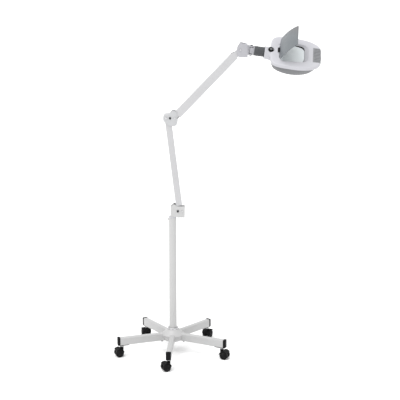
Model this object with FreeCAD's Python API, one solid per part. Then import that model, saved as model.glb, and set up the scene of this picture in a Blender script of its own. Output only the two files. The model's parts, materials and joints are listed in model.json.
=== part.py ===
"""Magnifying lamp on a rolling five-leg stand.

Units are millimetres. The origin is on the floor, on the column's axis, and +Z is up.
The arm folds in the XZ plane and carries the lens head towards +X.
"""
import FreeCAD
import Part
import math
import os

V = FreeCAD.Vector
UP = V(0, 0, 1)
ACROSS = V(0, 1, 0)
FORWARD = V(1, 0, 0)

# ---------------------------------------------------------------- rolling base
LEG_COUNT = 5
FIRST_LEG_DEG = -93.8        # azimuth of leg 1, from +X
TIP_RADIUS = 290.0           # column axis to the outer face of an end plug
PLUG_PLATE = 12.0            # thickness of the end plug's visible plate
SEAM_RADIUS = 73.0           # where a leg meets the hub's arm
LEG_WIDTH = 25.0
LEG_WALL = 2.0
LEG_TOP_IN, LEG_TOP_OUT = 106.0, 100.5
LEG_LOW_IN, LEG_LOW_OUT = 68.0, 60.0
TONGUE_LOW, TONGUE_TOP = 75.0, 98.0      # the part of a leg inside the hub's arm
TONGUE_HALF = 8.0
HUB_SKIRT, HUB_RADIUS, HUB_NECK = 45.0, 59.0, 29.0    # at the foot, the shoulder and the top
HUB_LOW, HUB_SHOULDER, HUB_TOP = 67.0, 98.0, 125.0
HUB_BOLT_AT = 58.0
STEM_RADIUS_AT = 268.0       # column axis to a caster's swivel axis

# ---------------------------------------------------------------- casters
WHEEL_RADIUS = 21.0
WHEEL_INNER, WHEEL_OUTER = 5.6, 22.5      # half gap and half width of the wheel pair
TRAIL = 16.0
HOOD_INNER, HOOD_OUTER = 22.3, 24.6
AXLE_RADIUS = 3.0
TRAIL_DEG = (204.0, 336.0, 66.0, 104.0, 200.0)   # which way each caster trails at rest
STEM_PIN, STEM_SWIVEL = 5.0, 4.0          # radii above and below the stem's flange

# ---------------------------------------------------------------- column
TUBE_RADIUS = 19.0
TUBE_WALL = 2.0
TUBE_LOW, TUBE_TOP = 88.0, 717.0
CAP_TOP = 722.0
POST_RADIUS = 6.5

# ---------------------------------------------------------------- arms
RUN = 0.05                   # radial clearance of a running fit
LOOSE = 0.6                  # radial clearance of the pin that opens each four-bar loop
BOLT = 3.0
PIN = 2.5
CHANNEL_HALF = 14.0          # half width of an arm channel, across the arm
CHANNEL_WALL = 2.5
CHEEK_IN, CHEEK_OUT = 14.6, 18.0
LOWER_LENGTH = 480.0
LOWER_DEG = 96.9             # direction of the lower arm, from +X
LOWER_SPACING = 20.6         # between its two pivot lines, level
LOWER_BASE = V(27.0, 0, 753.0)
UPPER_LENGTH = 468.0
UPPER_DEG = 46.5
UPPER_SPACING = 13.0
UPPER_SPACING_DEG = -50.0    # direction of the upper link's offset
ELBOW_STEP = 43.5            # lower arm's pivot to the upper arm's pivot, level

# ---------------------------------------------------------------- neck and head
NECK_DROP = 8.0              # how far the neck points below level
HEAD_ROLL = 30.0             # how far the head is turned on its neck
NECK_END = V(447.2, 0, 1557.8)
SWIVEL_U = -60.0             # swivel pin, along the neck from its end
COLLAR_RADIUS = 24.0
SPINDLE_RADIUS = 8.0
COVER_TOP, COVER_LOW = 24.0, 8.0
COVER_WALL = 3.0
SHELL_LOW = -38.0
SHELL_WALL = 2.6
LENS_LOW, LENS_RIM, LENS_CROWN = 4.0, 9.2, 16.0
LENS_SPHERE = 420.0
LID_OPEN = 56.0              # how far the lid stands open at rest
LID_U, LID_N = 78.0, 26.6    # the lid's hinge line, in the head's own frame
LID_KNUCKLE, LID_PIN = 2.2, 1.2
LID_ARCH = 268.0             # radius the lid is bent to, along the neck
LID_THICK = 3.0
KNOB_U, KNOB_SEAT = 36.0, 18.5
KNOB_LEAN = 15.0             # the knob's axis leans to the near side
KNOB_RADIUS, KNOB_HEIGHT = 13.2, 10.0

# Half outlines, neck side first, as (along the neck, half width).
COVER_HALF = ((34, 42), (38.5, 78), (50, 98), (72, 108), (110, 112), (160, 113), (205, 108), (240, 97),
              (264, 82), (280, 60), (283.5, 30))
SHELL_HALF = ((40, 50), (50, 90), (76, 104), (125, 110), (175, 109), (220, 100), (254, 84), (275, 54))
SHELL_MID_HALF = ((44, 48), (52, 82), (72, 98), (115, 106), (165, 105), (208, 97), (240, 82), (264, 50))
SHELL_LOW_HALF = ((50, 52), (62, 72), (90, 88), (130, 97), (165, 96), (200, 87), (230, 70), (252, 42))
LENS_WINDOW = (76.0, 222.0, 166.0, 120.0, 34.0)   # start, end, widths there, corner radius
LENS_SEAT = (80.0, 202.0, 150.0, 114.0, 30.0)


# ================================================================ small helpers
def box(x0, x1, y0, y1, z0, z1):
    return Part.makeBox(x1 - x0, y1 - y0, z1 - z0, V(x0, y0, z0))


def rod(radius, start, direction, length):
    return Part.makeCylinder(radius, length, start, direction)


def tube(outer, inner, start, direction, length):
    return rod(outer, start, direction, length).cut(rod(inner, start, direction, length))


def cross_rod(radius, x, z, y0, y1):
    """A rod along Y, through (x, z)."""
    return rod(radius, V(x, y0, z), ACROSS, y1 - y0)


def fuse(shapes):
    whole = shapes[0].multiFuse(shapes[1:]) if len(shapes) > 1 else shapes[0]
    return whole.removeSplitter()


def rounded_wire(points):
    """A closed wire through (x, y, corner radius) points, in the XY plane."""
    edges = []
    arcs = []
    count = len(points)
    for index in range(count):
        corner = V(points[index][0], points[index][1], 0)
        before = V(points[index - 1][0], points[index - 1][1], 0) - corner
        after = V(points[(index + 1) % count][0], points[(index + 1) % count][1], 0) - corner
        radius = points[index][2]
        half_angle = before.getAngle(after) / 2
        reach = radius / math.tan(half_angle)
        start = corner + V(before).normalize() * reach
        end = corner + V(after).normalize() * reach
        bisector = (V(before).normalize() + V(after).normalize()).normalize()
        middle = corner + bisector * (radius / math.sin(half_angle) - radius)
        arcs.append((start, middle, end))
    for index in range(count):
        start, middle, end = arcs[index]
        edges.append(Part.Arc(start, middle, end).toShape())
        edges.append(Part.makeLine(end, arcs[(index + 1) % count][0]))
    return Part.Wire(edges)


def plate_xz(points, y0, y1):
    """A plate parallel to XZ, whose outline is a list of (x, z, corner radius)."""
    wire = rounded_wire(points)
    wire.rotate(V(0, 0, 0), FORWARD, 90)
    wire.translate(V(0, y0, 0))
    return Part.Face(wire).extrude(V(0, y1 - y0, 0))


def polygon_xz(points, y0, y1):
    """A sharp-cornered plate parallel to XZ."""
    corners = [V(x, y0, z) for x, z in points]
    wire = Part.makePolygon(corners + corners[:1])
    return Part.Face(wire).extrude(V(0, y1 - y0, 0))


def at_angle(shape, pivot, degrees):
    """Turn a shape made along +X so that it runs at this angle in XZ, then move it to the pivot."""
    placed = shape.copy()
    placed.rotate(V(0, 0, 0), V(0, -1, 0), degrees)
    placed.translate(pivot)
    return placed


def polar(pivot, length, degrees):
    turn = math.radians(degrees)
    return pivot + V(length * math.cos(turn), 0, length * math.sin(turn))


def fillet_where(shape, radius, wanted):
    """Fillet the edges whose centre of mass passes the test."""
    edges = [edge for edge in shape.Edges if wanted(edge.CenterOfMass, edge)]
    return shape.makeFillet(radius, edges)


def coil(radius, wire_radius, pitch, length, start, direction):
    """A spring along a direction."""
    helix = Part.makeHelix(pitch, length, radius)
    profile = Part.Wire([Part.makeCircle(wire_radius, V(radius, 0, 0), ACROSS)])
    spring = Part.Wire(helix).makePipeShell([profile], True, True)
    spring.Placement = FreeCAD.Placement(start, FreeCAD.Rotation(UP, direction))
    return spring


# ================================================================ key points
LOWER_LINK_BASE = LOWER_BASE + V(LOWER_SPACING, 0, 0)
ELBOW_LEFT = polar(LOWER_BASE, LOWER_LENGTH, LOWER_DEG)
ELBOW_MIDDLE = ELBOW_LEFT + V(LOWER_SPACING, 0, 0)
UPPER_BASE = ELBOW_LEFT + V(ELBOW_STEP, 0, 0)
UPPER_LINK_BASE = polar(UPPER_BASE, UPPER_SPACING, UPPER_SPACING_DEG)
TILT_POINT = polar(UPPER_BASE, UPPER_LENGTH, UPPER_DEG)
UPPER_LINK_END = polar(UPPER_LINK_BASE, UPPER_LENGTH, UPPER_DEG)
NECK_TURN = FreeCAD.Rotation(ACROSS, NECK_DROP)
HEAD_TURN = NECK_TURN.multiply(FreeCAD.Rotation(FORWARD, HEAD_ROLL))
NECK_PLACE = FreeCAD.Placement(NECK_END, NECK_TURN)
HEAD_PLACE = FreeCAD.Placement(NECK_END, HEAD_TURN)
NECK_AXIS = NECK_TURN.multVec(FORWARD)
SWIVEL_AXIS = NECK_TURN.multVec(UP)
SWIVEL_POINT = NECK_PLACE.multVec(V(SWIVEL_U, 0, 0))
KNOB_FRAME = FreeCAD.Placement(V(KNOB_U, 0, KNOB_SEAT), FreeCAD.Rotation(FORWARD, KNOB_LEAN))


def leg_degrees(index):
    return FIRST_LEG_DEG + index * 360.0 / LEG_COUNT


def caster_point(index):
    turn = math.radians(leg_degrees(index))
    return V(STEM_RADIUS_AT * math.cos(turn), STEM_RADIUS_AT * math.sin(turn), 0)


def axle_direction(index):
    turn = math.radians(TRAIL_DEG[index] + 90)
    return V(math.cos(turn), math.sin(turn), 0)


def axle_point(index):
    turn = math.radians(TRAIL_DEG[index])
    return caster_point(index) + V(TRAIL * math.cos(turn), TRAIL * math.sin(turn), WHEEL_RADIUS)


# ================================================================ rolling base
def leg_low(x):
    """Height of a leg's underside at this distance from the column axis."""
    share = (x - SEAM_RADIUS) / (TIP_RADIUS - PLUG_PLATE - SEAM_RADIUS)
    return LEG_LOW_IN + share * (LEG_LOW_OUT - LEG_LOW_IN)


def leg_top(x):
    share = (x - SEAM_RADIUS) / (TIP_RADIUS - PLUG_PLATE - SEAM_RADIUS)
    return LEG_TOP_IN + share * (LEG_TOP_OUT - LEG_TOP_IN)


def around_column(shape, index):
    placed = shape.copy()
    placed.rotate(V(0, 0, 0), UP, leg_degrees(index))
    return placed


def make_leg():
    """One hollow tapered leg along +X, with the tongue that slides into the hub's arm."""
    half = LEG_WIDTH / 2
    end = TIP_RADIUS - PLUG_PLATE - 0.2
    outline = [(SEAM_RADIUS, leg_low(SEAM_RADIUS)), (end, leg_low(end)), (end, leg_top(end)),
               (SEAM_RADIUS, leg_top(SEAM_RADIUS))]
    body = polygon_xz(outline, -half, half)
    body = fillet_where(body, 5.0, lambda c, e: e.Length > 150 and c.z > 98)
    body = fillet_where(body, 2.0, lambda c, e: e.Length > 150 and c.z < 85 and abs(c.y) > half - 0.1)
    start = SEAM_RADIUS + 5
    hollow = [(start, leg_low(start) + LEG_WALL), (end + 1, leg_low(end + 1) + LEG_WALL),
              (end + 1, leg_top(end + 1) - LEG_WALL), (start, leg_top(start) - LEG_WALL)]
    body = body.cut(polygon_xz(hollow, LEG_WALL - half, half - LEG_WALL))
    body = body.cut(rod(7.0, V(STEM_RADIUS_AT, 0, 50), UP, 30))
    tongue = box(45, SEAM_RADIUS + 1, -TONGUE_HALF, TONGUE_HALF, TONGUE_LOW, TONGUE_TOP)
    tongue = tongue.cut(rod(BOLT + 0.1, V(HUB_BOLT_AT, 0, TONGUE_LOW - 10), UP, 50))
    return fuse([body, tongue])


def make_hub():
    """The star hub: a hollow casting around the column with five socketed arms."""
    half = LEG_WIDTH / 2
    seam = SEAM_RADIUS - 0.4
    outline = [(10, leg_low(10)), (seam, leg_low(seam)), (seam, leg_top(seam)), (10, leg_top(10))]
    arm = polygon_xz(outline, -half, half)
    arm = fillet_where(arm, 5.0, lambda c, e: e.Length > 50 and c.z > 98)
    skirt = Part.makeCone(HUB_SKIRT, HUB_RADIUS, HUB_SHOULDER - HUB_LOW, V(0, 0, HUB_LOW), UP)
    dome = Part.makeCone(HUB_RADIUS, HUB_NECK, HUB_TOP - HUB_SHOULDER, V(0, 0, HUB_SHOULDER), UP)
    boss = fillet_where(fuse([skirt, dome]), 4.0, lambda c, e: e.Closed and c.z > HUB_LOW + 1)
    hub = fuse([boss] + [around_column(arm, index) for index in range(LEG_COUNT)])
    side = TONGUE_HALF + 0.1
    socket = box(44, SEAM_RADIUS + 2, -side, side, TONGUE_LOW - 0.1, TONGUE_TOP + 0.1)
    socket = socket.fuse(rod(BOLT + 0.1, V(HUB_BOLT_AT, 0, HUB_LOW - 5), UP, 30))
    for index in range(LEG_COUNT):
        hub = hub.cut(around_column(socket, index))
    hub = hub.cut(tube(39.0, 25.0, V(0, 0, HUB_LOW - 1), UP, 24))
    return hub.cut(rod(TUBE_RADIUS + 0.15, V(0, 0, 70), UP, 80))


def make_hub_bolt():
    seat = leg_low(HUB_BOLT_AT + 5) - 0.1
    head = rod(5.0, V(HUB_BOLT_AT, 0, seat - 6.4), UP, 6.4)
    head = head.cut(rod(2.5, V(HUB_BOLT_AT, 0, seat - 6.5), UP, 3.0))
    return head.fuse(rod(BOLT, V(HUB_BOLT_AT, 0, seat - 0.5), UP, 20))


def make_end_plug():
    """The moulded plug in a leg's open end, with the socket that takes the caster's stem."""
    plate_x = TIP_RADIUS - PLUG_PLATE
    low = leg_low(plate_x) - 1
    top = leg_top(plate_x) + 1
    half = LEG_WIDTH / 2 + 0.6
    plate = box(plate_x, TIP_RADIUS, -half, half, low, top)
    plate = fillet_where(plate, 3.0, lambda c, e: c.x > TIP_RADIUS - 1 or (abs(e.Length - PLUG_PLATE) < 0.1))
    spigot = box(240, plate_x + 1, -10.2, 10.2, 64.6, 97.8)
    strip_start = TIP_RADIUS - 58
    strip = [(strip_start, leg_low(strip_start) - 3.2), (plate_x + 1, low - 2.0), (plate_x + 1, low + 0.8),
             (strip_start, leg_low(strip_start) - 0.2)]
    plug = fuse([plate, spigot, polygon_xz(strip, -11, 11)])
    plug = plug.fuse(rod(6.6, V(STEM_RADIUS_AT, 0, 58.5), UP, 10))
    return plug.cut(rod(STEM_PIN + RUN, V(STEM_RADIUS_AT, 0, 45), UP, 51))


def make_caster_stem():
    """Steel stem: pressed in the leg's socket above its flange, the hood turns on it below."""
    at = STEM_RADIUS_AT
    parts = [rod(STEM_PIN, V(at, 0, 55), UP, 40), rod(9.0, V(at, 0, 52.6), UP, 3.0),
             rod(STEM_SWIVEL, V(at, 0, 33), UP, 22)]
    return fuse(parts)


def make_caster_hood():
    """Hood of a twin-wheel caster: its stem is on Z and it trails along +X."""
    centre = V(TRAIL, 0, WHEEL_RADIUS)
    wide = WHEEL_OUTER + 0.8
    web_half = WHEEL_INNER - 0.8
    shell = rod(HOOD_OUTER, V(TRAIL, -wide, WHEEL_RADIUS), ACROSS, 2 * wide)
    shell = fillet_where(shell, 3.0, lambda c, e: abs(c.y) > wide - 0.1)
    shell = shell.cut(rod(HOOD_INNER, V(TRAIL, -40, WHEEL_RADIUS), ACROSS, 80))
    shell = shell.cut(box(-40, 80, -40, 40, -10, 25)).cut(box(TRAIL + 18, 80, -40, 40, -10, 60))
    web = rod(12.0, V(TRAIL, -web_half, WHEEL_RADIUS), ACROSS, 2 * web_half)
    rib = box(-7.5, TRAIL + 6, -web_half, web_half, 25, 45)
    post = rod(9.0, V(0, 0, 41.0), UP, 11.0)
    hood = fuse([shell, web, rib, post])
    around_wheels = rod(HOOD_INNER, V(TRAIL, web_half, WHEEL_RADIUS), ACROSS, 40)
    around_wheels = around_wheels.fuse(rod(HOOD_INNER, V(TRAIL, -40 - web_half, WHEEL_RADIUS), ACROSS, 40))
    hood = hood.cut(around_wheels)
    hood = hood.cut(rod(STEM_SWIVEL + RUN, V(0, 0, 32), UP, 30))
    return hood.cut(cross_rod(AXLE_RADIUS + RUN, centre.x, centre.z, -30, 30))


def make_caster_wheels():
    """The wheel pair and the axle that joins them."""
    reach = WHEEL_OUTER - 4.5
    pieces = [cross_rod(AXLE_RADIUS, TRAIL, WHEEL_RADIUS, -reach, reach)]
    for side in (-1, 1):
        inner, outer = sorted((side * WHEEL_INNER, side * WHEEL_OUTER))
        wheel = cross_rod(WHEEL_RADIUS, TRAIL, WHEEL_RADIUS, inner, outer)
        wheel = wheel.makeFillet(3.5, [e for e in wheel.Edges if e.Closed])
        face = side * WHEEL_OUTER
        groove_from, groove_to = sorted((face - side * 2.0, face + side * 1))
        groove = tube(17.0, 13.5, V(TRAIL, groove_from, WHEEL_RADIUS), ACROSS, groove_to - groove_from)
        bore_from, bore_to = sorted((side * (WHEEL_INNER - 1), side * (reach + 0.1)))
        wheel = wheel.cut(groove).cut(cross_rod(AXLE_RADIUS + RUN, TRAIL, WHEEL_RADIUS, bore_from, bore_to))
        pieces.append(wheel)
    return Part.Compound(pieces)


def place_caster(shape, index):
    placed = shape.copy()
    placed.rotate(V(0, 0, 0), UP, TRAIL_DEG[index])
    placed.translate(caster_point(index))
    return placed


def base_nodes():
    leg = make_leg()
    hood = make_caster_hood()
    wheels = make_caster_wheels()
    nodes = {"hub": make_hub()}
    for index in range(LEG_COUNT):
        name = str(index + 1)
        nodes["leg_" + name] = around_column(leg, index)
        nodes["caster_hood_" + name] = place_caster(hood, index)
        nodes["caster_wheels_" + name] = place_caster(wheels, index)
    every = range(LEG_COUNT)
    nodes["leg_end_plugs"] = Part.Compound([around_column(make_end_plug(), index) for index in every])
    nodes["caster_stems"] = Part.Compound([around_column(make_caster_stem(), index) for index in every])
    nodes["hub_bolts"] = Part.Compound([around_column(make_hub_bolt(), index) for index in every])
    return nodes


# ================================================================ column
def make_foot_collar():
    ring = tube(27.0, TUBE_RADIUS + 0.15, V(0, 0, HUB_TOP + 0.2), UP, 9.0)
    return fillet_where(ring, 2.5, lambda c, e: c.z > HUB_TOP + 8 and e.Length > 150)


def make_column_cap():
    """Flanged bush in the top of the tube: the swivel post turns in it."""
    flange = rod(TUBE_RADIUS + 1, V(0, 0, TUBE_TOP + 0.1), UP, CAP_TOP - TUBE_TOP - 0.1)
    flange = fillet_where(flange, 1.0, lambda c, e: e.Closed)
    spigot = rod(TUBE_RADIUS - TUBE_WALL - 0.1, V(0, 0, 650), UP, TUBE_TOP - 648)
    cap = fuse([flange, spigot]).cut(rod(POST_RADIUS + RUN, V(0, 0, 640), UP, 100))
    return cap.cut(rod(2.2, V(-30, 0, 708), FORWARD, 25))


def column_nodes():
    column = tube(TUBE_RADIUS, TUBE_RADIUS - TUBE_WALL, V(0, 0, TUBE_LOW), UP, TUBE_TOP - TUBE_LOW)
    column = column.cut(rod(2.2, V(-30, 0, 708), FORWARD, 25))
    screw = rod(5.0, V(-23.2, 0, 708), FORWARD, 3.9).fuse(rod(2.0, V(-20, 0, 708), FORWARD, 12))
    return {"foot_collar": make_foot_collar(), "column_tube": column,
            "column_cap": make_column_cap(), "column_set_screw": screw}


# ================================================================ base bracket
GLAND_X, GLAND_Z = 1.5, 735.0


def make_base_bracket():
    """Two cheeks and a sleeve: the sleeve turns on the column, the cheeks hold the lower arm."""
    low = CAP_TOP + 0.8
    outline = [(-9.6, low, 0.8), (22.5, low, 0.5), (22.5, low - 3.3, 0.5), (61.5, low - 3.3, 4.0),
               (62.5, 776, 4.0), (20, 778, 2.0), (14, 787, 2.5), (6, 787, 3.0), (-9.6, 773, 3.0)]
    cheeks = [plate_xz(outline, CHEEK_IN, CHEEK_OUT), plate_xz(outline, -CHEEK_OUT, -CHEEK_IN)]
    sleeve_outline = [(-9.6, low), (14, low), (14, 738), (4, 752), (-9.6, 752)]
    sleeve = polygon_xz(sleeve_outline, -CHEEK_OUT, CHEEK_OUT)
    floor = box(10, 22.5, -CHEEK_OUT, CHEEK_OUT, low, 727).fuse(
        box(22.5, 58, -CHEEK_OUT, CHEEK_OUT, low - 3.3, 724))
    bracket = fuse(cheeks + [sleeve, floor])
    bracket = bracket.cut(rod(POST_RADIUS + 0.02, V(0, 0, 700), UP, 47))
    bracket = bracket.cut(rod(4.5, V(GLAND_X, 9, GLAND_Z), ACROSS, 20))
    for pivot in (LOWER_BASE, LOWER_LINK_BASE):
        bracket = bracket.cut(cross_rod(BOLT + RUN, pivot.x, pivot.z, -30, 30))
    return bracket


def make_gland():
    body = rod(7.5, V(GLAND_X, CHEEK_OUT + 0.1, GLAND_Z), ACROSS, 4.0)
    nose = Part.makeCone(6.5, 5.0, 9.0, V(GLAND_X, CHEEK_OUT + 4, GLAND_Z), ACROSS)
    spigot = rod(4.4, V(GLAND_X, 10.5, GLAND_Z), ACROSS, 8.0)
    return fuse([body, nose, spigot]).cut(rod(3.1, V(GLAND_X, 5, GLAND_Z), ACROSS, 40))


def make_arm_bumper():
    """The rubber block that the lower arm leans back on."""
    block = box(7.6, 14.9, 0.2 - CHEEK_IN, CHEEK_IN - 0.2, 778.6, 786.4)
    return fillet_where(block, 1.5, lambda c, e: e.Length > CHEEK_IN)


def screw_across(pivot, shank, head, reach, slot):
    """A pivot screw along Y with a domed head on the -Y side and a nut on the +Y side."""
    shaft = cross_rod(shank, pivot.x, pivot.z, -reach, reach)
    front = cross_rod(head, pivot.x, pivot.z, -reach - 2.6, -CHEEK_OUT - 0.15)
    front = fillet_where(front, 1.4, lambda c, e: c.y < -reach - 2.5 and e.Closed)
    back = cross_rod(head - 0.4, pivot.x, pivot.z, CHEEK_OUT + 0.15, reach + 1.5)
    screw = fuse([shaft, front, back])
    if slot:
        screw = screw.cut(cross_rod(slot, pivot.x, pivot.z, -reach - 4, -reach - 1.0))
    return screw


def swivel_nodes():
    post = rod(POST_RADIUS, V(0, 0, 655), UP, 91)
    return {
        "swivel_post": post,
        "base_bracket": make_base_bracket(),
        "cord_gland": make_gland(),
        "arm_bumper": make_arm_bumper(),
        "base_tension_screw": screw_across(LOWER_BASE, BOLT, 5.5, 19.5, 2.2),
        "base_pivot_pin": screw_across(LOWER_LINK_BASE, BOLT, 4.2, 18.6, 0),
    }


# ================================================================ arms
def channel(outline, web_from, web_to, web_top, length, bolt):
    """An arm channel along +X: two flanges of this outline and a web along their upper edge."""
    inner = CHANNEL_HALF - CHANNEL_WALL
    flanges = [plate_xz(outline, inner, CHANNEL_HALF), plate_xz(outline, -CHANNEL_HALF, -inner)]
    web = box(web_from, web_to, -CHANNEL_HALF, CHANNEL_HALF, web_top - CHANNEL_WALL, web_top)
    whole = fuse(flanges + [web])
    whole = fillet_where(whole, 2.4, lambda c, e: e.Length > 300 and c.z > web_top - 0.1
                         and abs(c.y) > CHANNEL_HALF - 0.1)
    for x in (0, length):
        whole = whole.cut(cross_rod(bolt + RUN, x, 0, -20, 20))
    return whole


def link_bar(length, half, eye, near_hole, far_hole):
    """A flat link along +X with an eye at each end."""
    bar = box(0, length, 2.0, 8.0, -half, half)
    eyes = [cross_rod(eye, x, 0, 2.0, 8.0) for x in (0, length)]
    link = fuse([bar] + eyes)
    link = link.cut(cross_rod(near_hole, 0, 0, 0, 10))
    return link.cut(cross_rod(far_hole, length, 0, 0, 10))


def spring_in_channel(x_from, x_to, z):
    """A tension spring hooked between two posts on the channel's -Y flange."""
    gap = 5.0
    return coil(3.6, 0.75, 3.0, x_to - x_from - 2 * gap, V(x_from + gap, -6.2, z), FORWARD)


def spring_posts(x_from, x_to, z):
    inner = CHANNEL_HALF - CHANNEL_WALL
    return [cross_rod(2.0, x, z, -inner - 1, -1.5) for x in (x_from, x_to)]


LOWER_SPRING = (70.0, 250.0, -9.0)
UPPER_SPRING = (90.0, 270.0, 4.0)


def make_lower_bar():
    top, low = 6.5, -24.5
    outline = [(-6.5, top, 6.3), (LOWER_LENGTH + 6.5, top, 6.3), (LOWER_LENGTH + 6.5, -6, 5.5),
               (LOWER_LENGTH - 14, -6, 3), (LOWER_LENGTH - 45, low, 5), (27, low, 3), (24.6, -6, 3),
               (-6.5, -6, 5.5)]
    bar = channel(outline, 20, LOWER_LENGTH - 20, top, LOWER_LENGTH, BOLT)
    return fuse([bar] + spring_posts(*LOWER_SPRING))


def make_upper_bar():
    deep = 19.5
    end = UPPER_LENGTH
    outline = [(-10, 10, 9.7), (6, 10, 4), (26, deep, 5), (end - 45, deep, 5), (end - 22, 10, 4),
               (end + 10, 10, 9.7), (end + 10, -10, 9.7), (end - 22, -10, 4), (end - 45, -deep, 5),
               (22, -deep, 4), (19, -6, 3), (8, -6, 1.2), (1.5, -10, 2.5), (-10, -10, 9.7)]
    bar = channel(outline, 30, end - 49, deep, end, BOLT)
    return fuse([bar] + spring_posts(*UPPER_SPRING))


def make_elbow_bracket():
    """Two cheeks joined by a web round their upper left corner."""
    left = ELBOW_LEFT
    edge_left = left.x - 13.5
    outline = [(edge_left, left.z + 16.5, 15.8), (edge_left, left.z - 14, 14), (-14, 1190, 6),
               (8, 1188.5, 10), (22, 1194, 6), (28, 1212, 4), (23.5, 1226, 4), (23, 1257, 3),
               (13, 1265.5, 3), (-1, 1264.5, 3), (-8, 1252.5, 2)]
    bracket = plate_xz(outline, -CHEEK_OUT, CHEEK_OUT)
    web_low = left.z + 2.0
    room = [(-70, 1150), (60, 1150), (60, 1300), (-7, 1300), (-7, 1249.4), (left.x, left.z + 13.5),
            (left.x, web_low), (-70, web_low)]
    bracket = bracket.cut(polygon_xz(room, -CHEEK_IN, CHEEK_IN))
    bracket = bracket.cut(cross_rod(10.5, left.x, left.z, -CHEEK_IN, CHEEK_IN))
    for pivot in (ELBOW_LEFT, ELBOW_MIDDLE, UPPER_BASE):
        bracket = bracket.cut(cross_rod(BOLT + RUN, pivot.x, pivot.z, -30, 30))
    blind = 2.0 - CHEEK_OUT
    return bracket.cut(cross_rod(PIN + RUN, UPPER_LINK_BASE.x, UPPER_LINK_BASE.z, blind, 30))


def make_elbow_pins():
    """The elbow's three plain pivots: the two arm pivots and the upper link's pin."""
    flush = cross_rod(PIN, UPPER_LINK_BASE.x, UPPER_LINK_BASE.z, 2.2 - CHEEK_OUT, CHEEK_OUT - 0.2)
    pins = [screw_across(ELBOW_LEFT, BOLT, 6.0, 18.6, 0), screw_across(UPPER_BASE, BOLT, 4.4, 19.0, 0), flush]
    return Part.Compound(pins)


def make_end_link():
    """The plate inside the upper arm's end that the link keeps level."""
    head = cross_rod(8.0, TILT_POINT.x, TILT_POINT.z, -9.0, 0.5)
    foot = cross_rod(5.5, UPPER_LINK_END.x, UPPER_LINK_END.z, -9.0, 0.5)
    span = box(0, UPPER_SPACING, -9.0, 0.5, -5.2, 5.2)
    pin = cross_rod(PIN, UPPER_LINK_END.x, UPPER_LINK_END.z, -1, 9.5)
    link = fuse([head, foot, at_angle(span, TILT_POINT, UPPER_SPACING_DEG), pin])
    return link.cut(cross_rod(BOLT + RUN, TILT_POINT.x, TILT_POINT.z, -12, 12))


def arm_nodes():
    def lower(shape, pivot=LOWER_BASE):
        return at_angle(shape, pivot, LOWER_DEG)

    def upper(shape, pivot=UPPER_BASE):
        return at_angle(shape, pivot, UPPER_DEG)

    lower_link = link_bar(LOWER_LENGTH, 4.0, 6.5, BOLT + RUN, BOLT + LOOSE)
    upper_link = link_bar(UPPER_LENGTH, 3.5, 5.5, PIN + RUN, PIN + LOOSE)
    return {
        "lower_bar": lower(make_lower_bar()),
        "lower_link": lower(lower_link, LOWER_LINK_BASE),
        "lower_spring": lower(spring_in_channel(*LOWER_SPRING)),
        "elbow_bracket": make_elbow_bracket(),
        "elbow_tension_screw": screw_across(ELBOW_MIDDLE, BOLT, 5.5, 19.5, 2.2),
        "elbow_pivot_pins": make_elbow_pins(),
        "upper_bar": upper(make_upper_bar()),
        "upper_link": upper(upper_link, UPPER_LINK_BASE),
        "upper_spring": upper(spring_in_channel(*UPPER_SPRING)),
        "end_link": make_end_link(),
    }


# ================================================================ neck
TINE_IN, TINE_OUT = 17.5, 23.0
KNUCKLE_HALF = 14.8


def on_neck(shape):
    placed = shape.copy()
    placed.Placement = NECK_PLACE.multiply(placed.Placement)
    return placed


def make_tilt_bracket():
    """Two cheeks on the arm's end and two tines that hold the neck's knuckle."""
    outline = [(317, 1558, 8), (321, 1581, 4), (336, 1604.5, 5), (371, 1596.3, 2.5), (371, 1533.8, 2.5),
               (326, 1534.5, 8)]
    cheeks = [plate_xz(outline, CHEEK_IN, CHEEK_OUT), plate_xz(outline, -CHEEK_OUT, -CHEEK_IN)]
    wall = polygon_xz([(360, 1545), (371, 1545), (371, 1596.3), (360, 1598.9)], -CHEEK_OUT, CHEEK_OUT)
    tines = []
    for low, high in ((TINE_IN, TINE_OUT), (-TINE_OUT, -TINE_IN)):
        strap = box(SWIVEL_U - 20, SWIVEL_U, -10.5, 10.5, low, high)
        tip = rod(10.5, V(SWIVEL_U, 0, low), UP, high - low)
        tines.append(on_neck(strap.fuse(tip)))
    web = on_neck(box(SWIVEL_U - 22, SWIVEL_U - 9, -10.5, 10.5, -TINE_IN, TINE_IN))
    bracket = fuse(cheeks + [wall, web] + tines)
    bracket = bracket.cut(on_neck(rod(3.5 + RUN, V(SWIVEL_U, 0, -30), UP, 60)))
    bracket = bracket.cut(on_neck(rod(11.6, V(SWIVEL_U, 0, 0.2 - TINE_IN), UP, 2 * TINE_IN - 0.4)))
    return bracket.cut(cross_rod(BOLT + RUN, TILT_POINT.x, TILT_POINT.z, -30, 30))


def make_swivel_pin():
    shank = rod(3.5, V(SWIVEL_U, 0, -25), UP, 50)
    top = fillet_where(rod(6.0, V(SWIVEL_U, 0, TINE_OUT + 0.2), UP, 3.4), 1.2, lambda c, e: c.z > TINE_OUT + 3)
    return on_neck(fuse([shank, top, rod(6.0, V(SWIVEL_U, 0, -TINE_OUT - 3.6), UP, 3.4)]))


def make_swivel_washers():
    washers = []
    for start in (KNUCKLE_HALF + 0.2, -TINE_IN + 0.2):
        washers.append(on_neck(tube(9.5, 3.7, V(SWIVEL_U, 0, start), UP, TINE_IN - KNUCKLE_HALF - 0.4)))
    return Part.Compound(washers)


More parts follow.
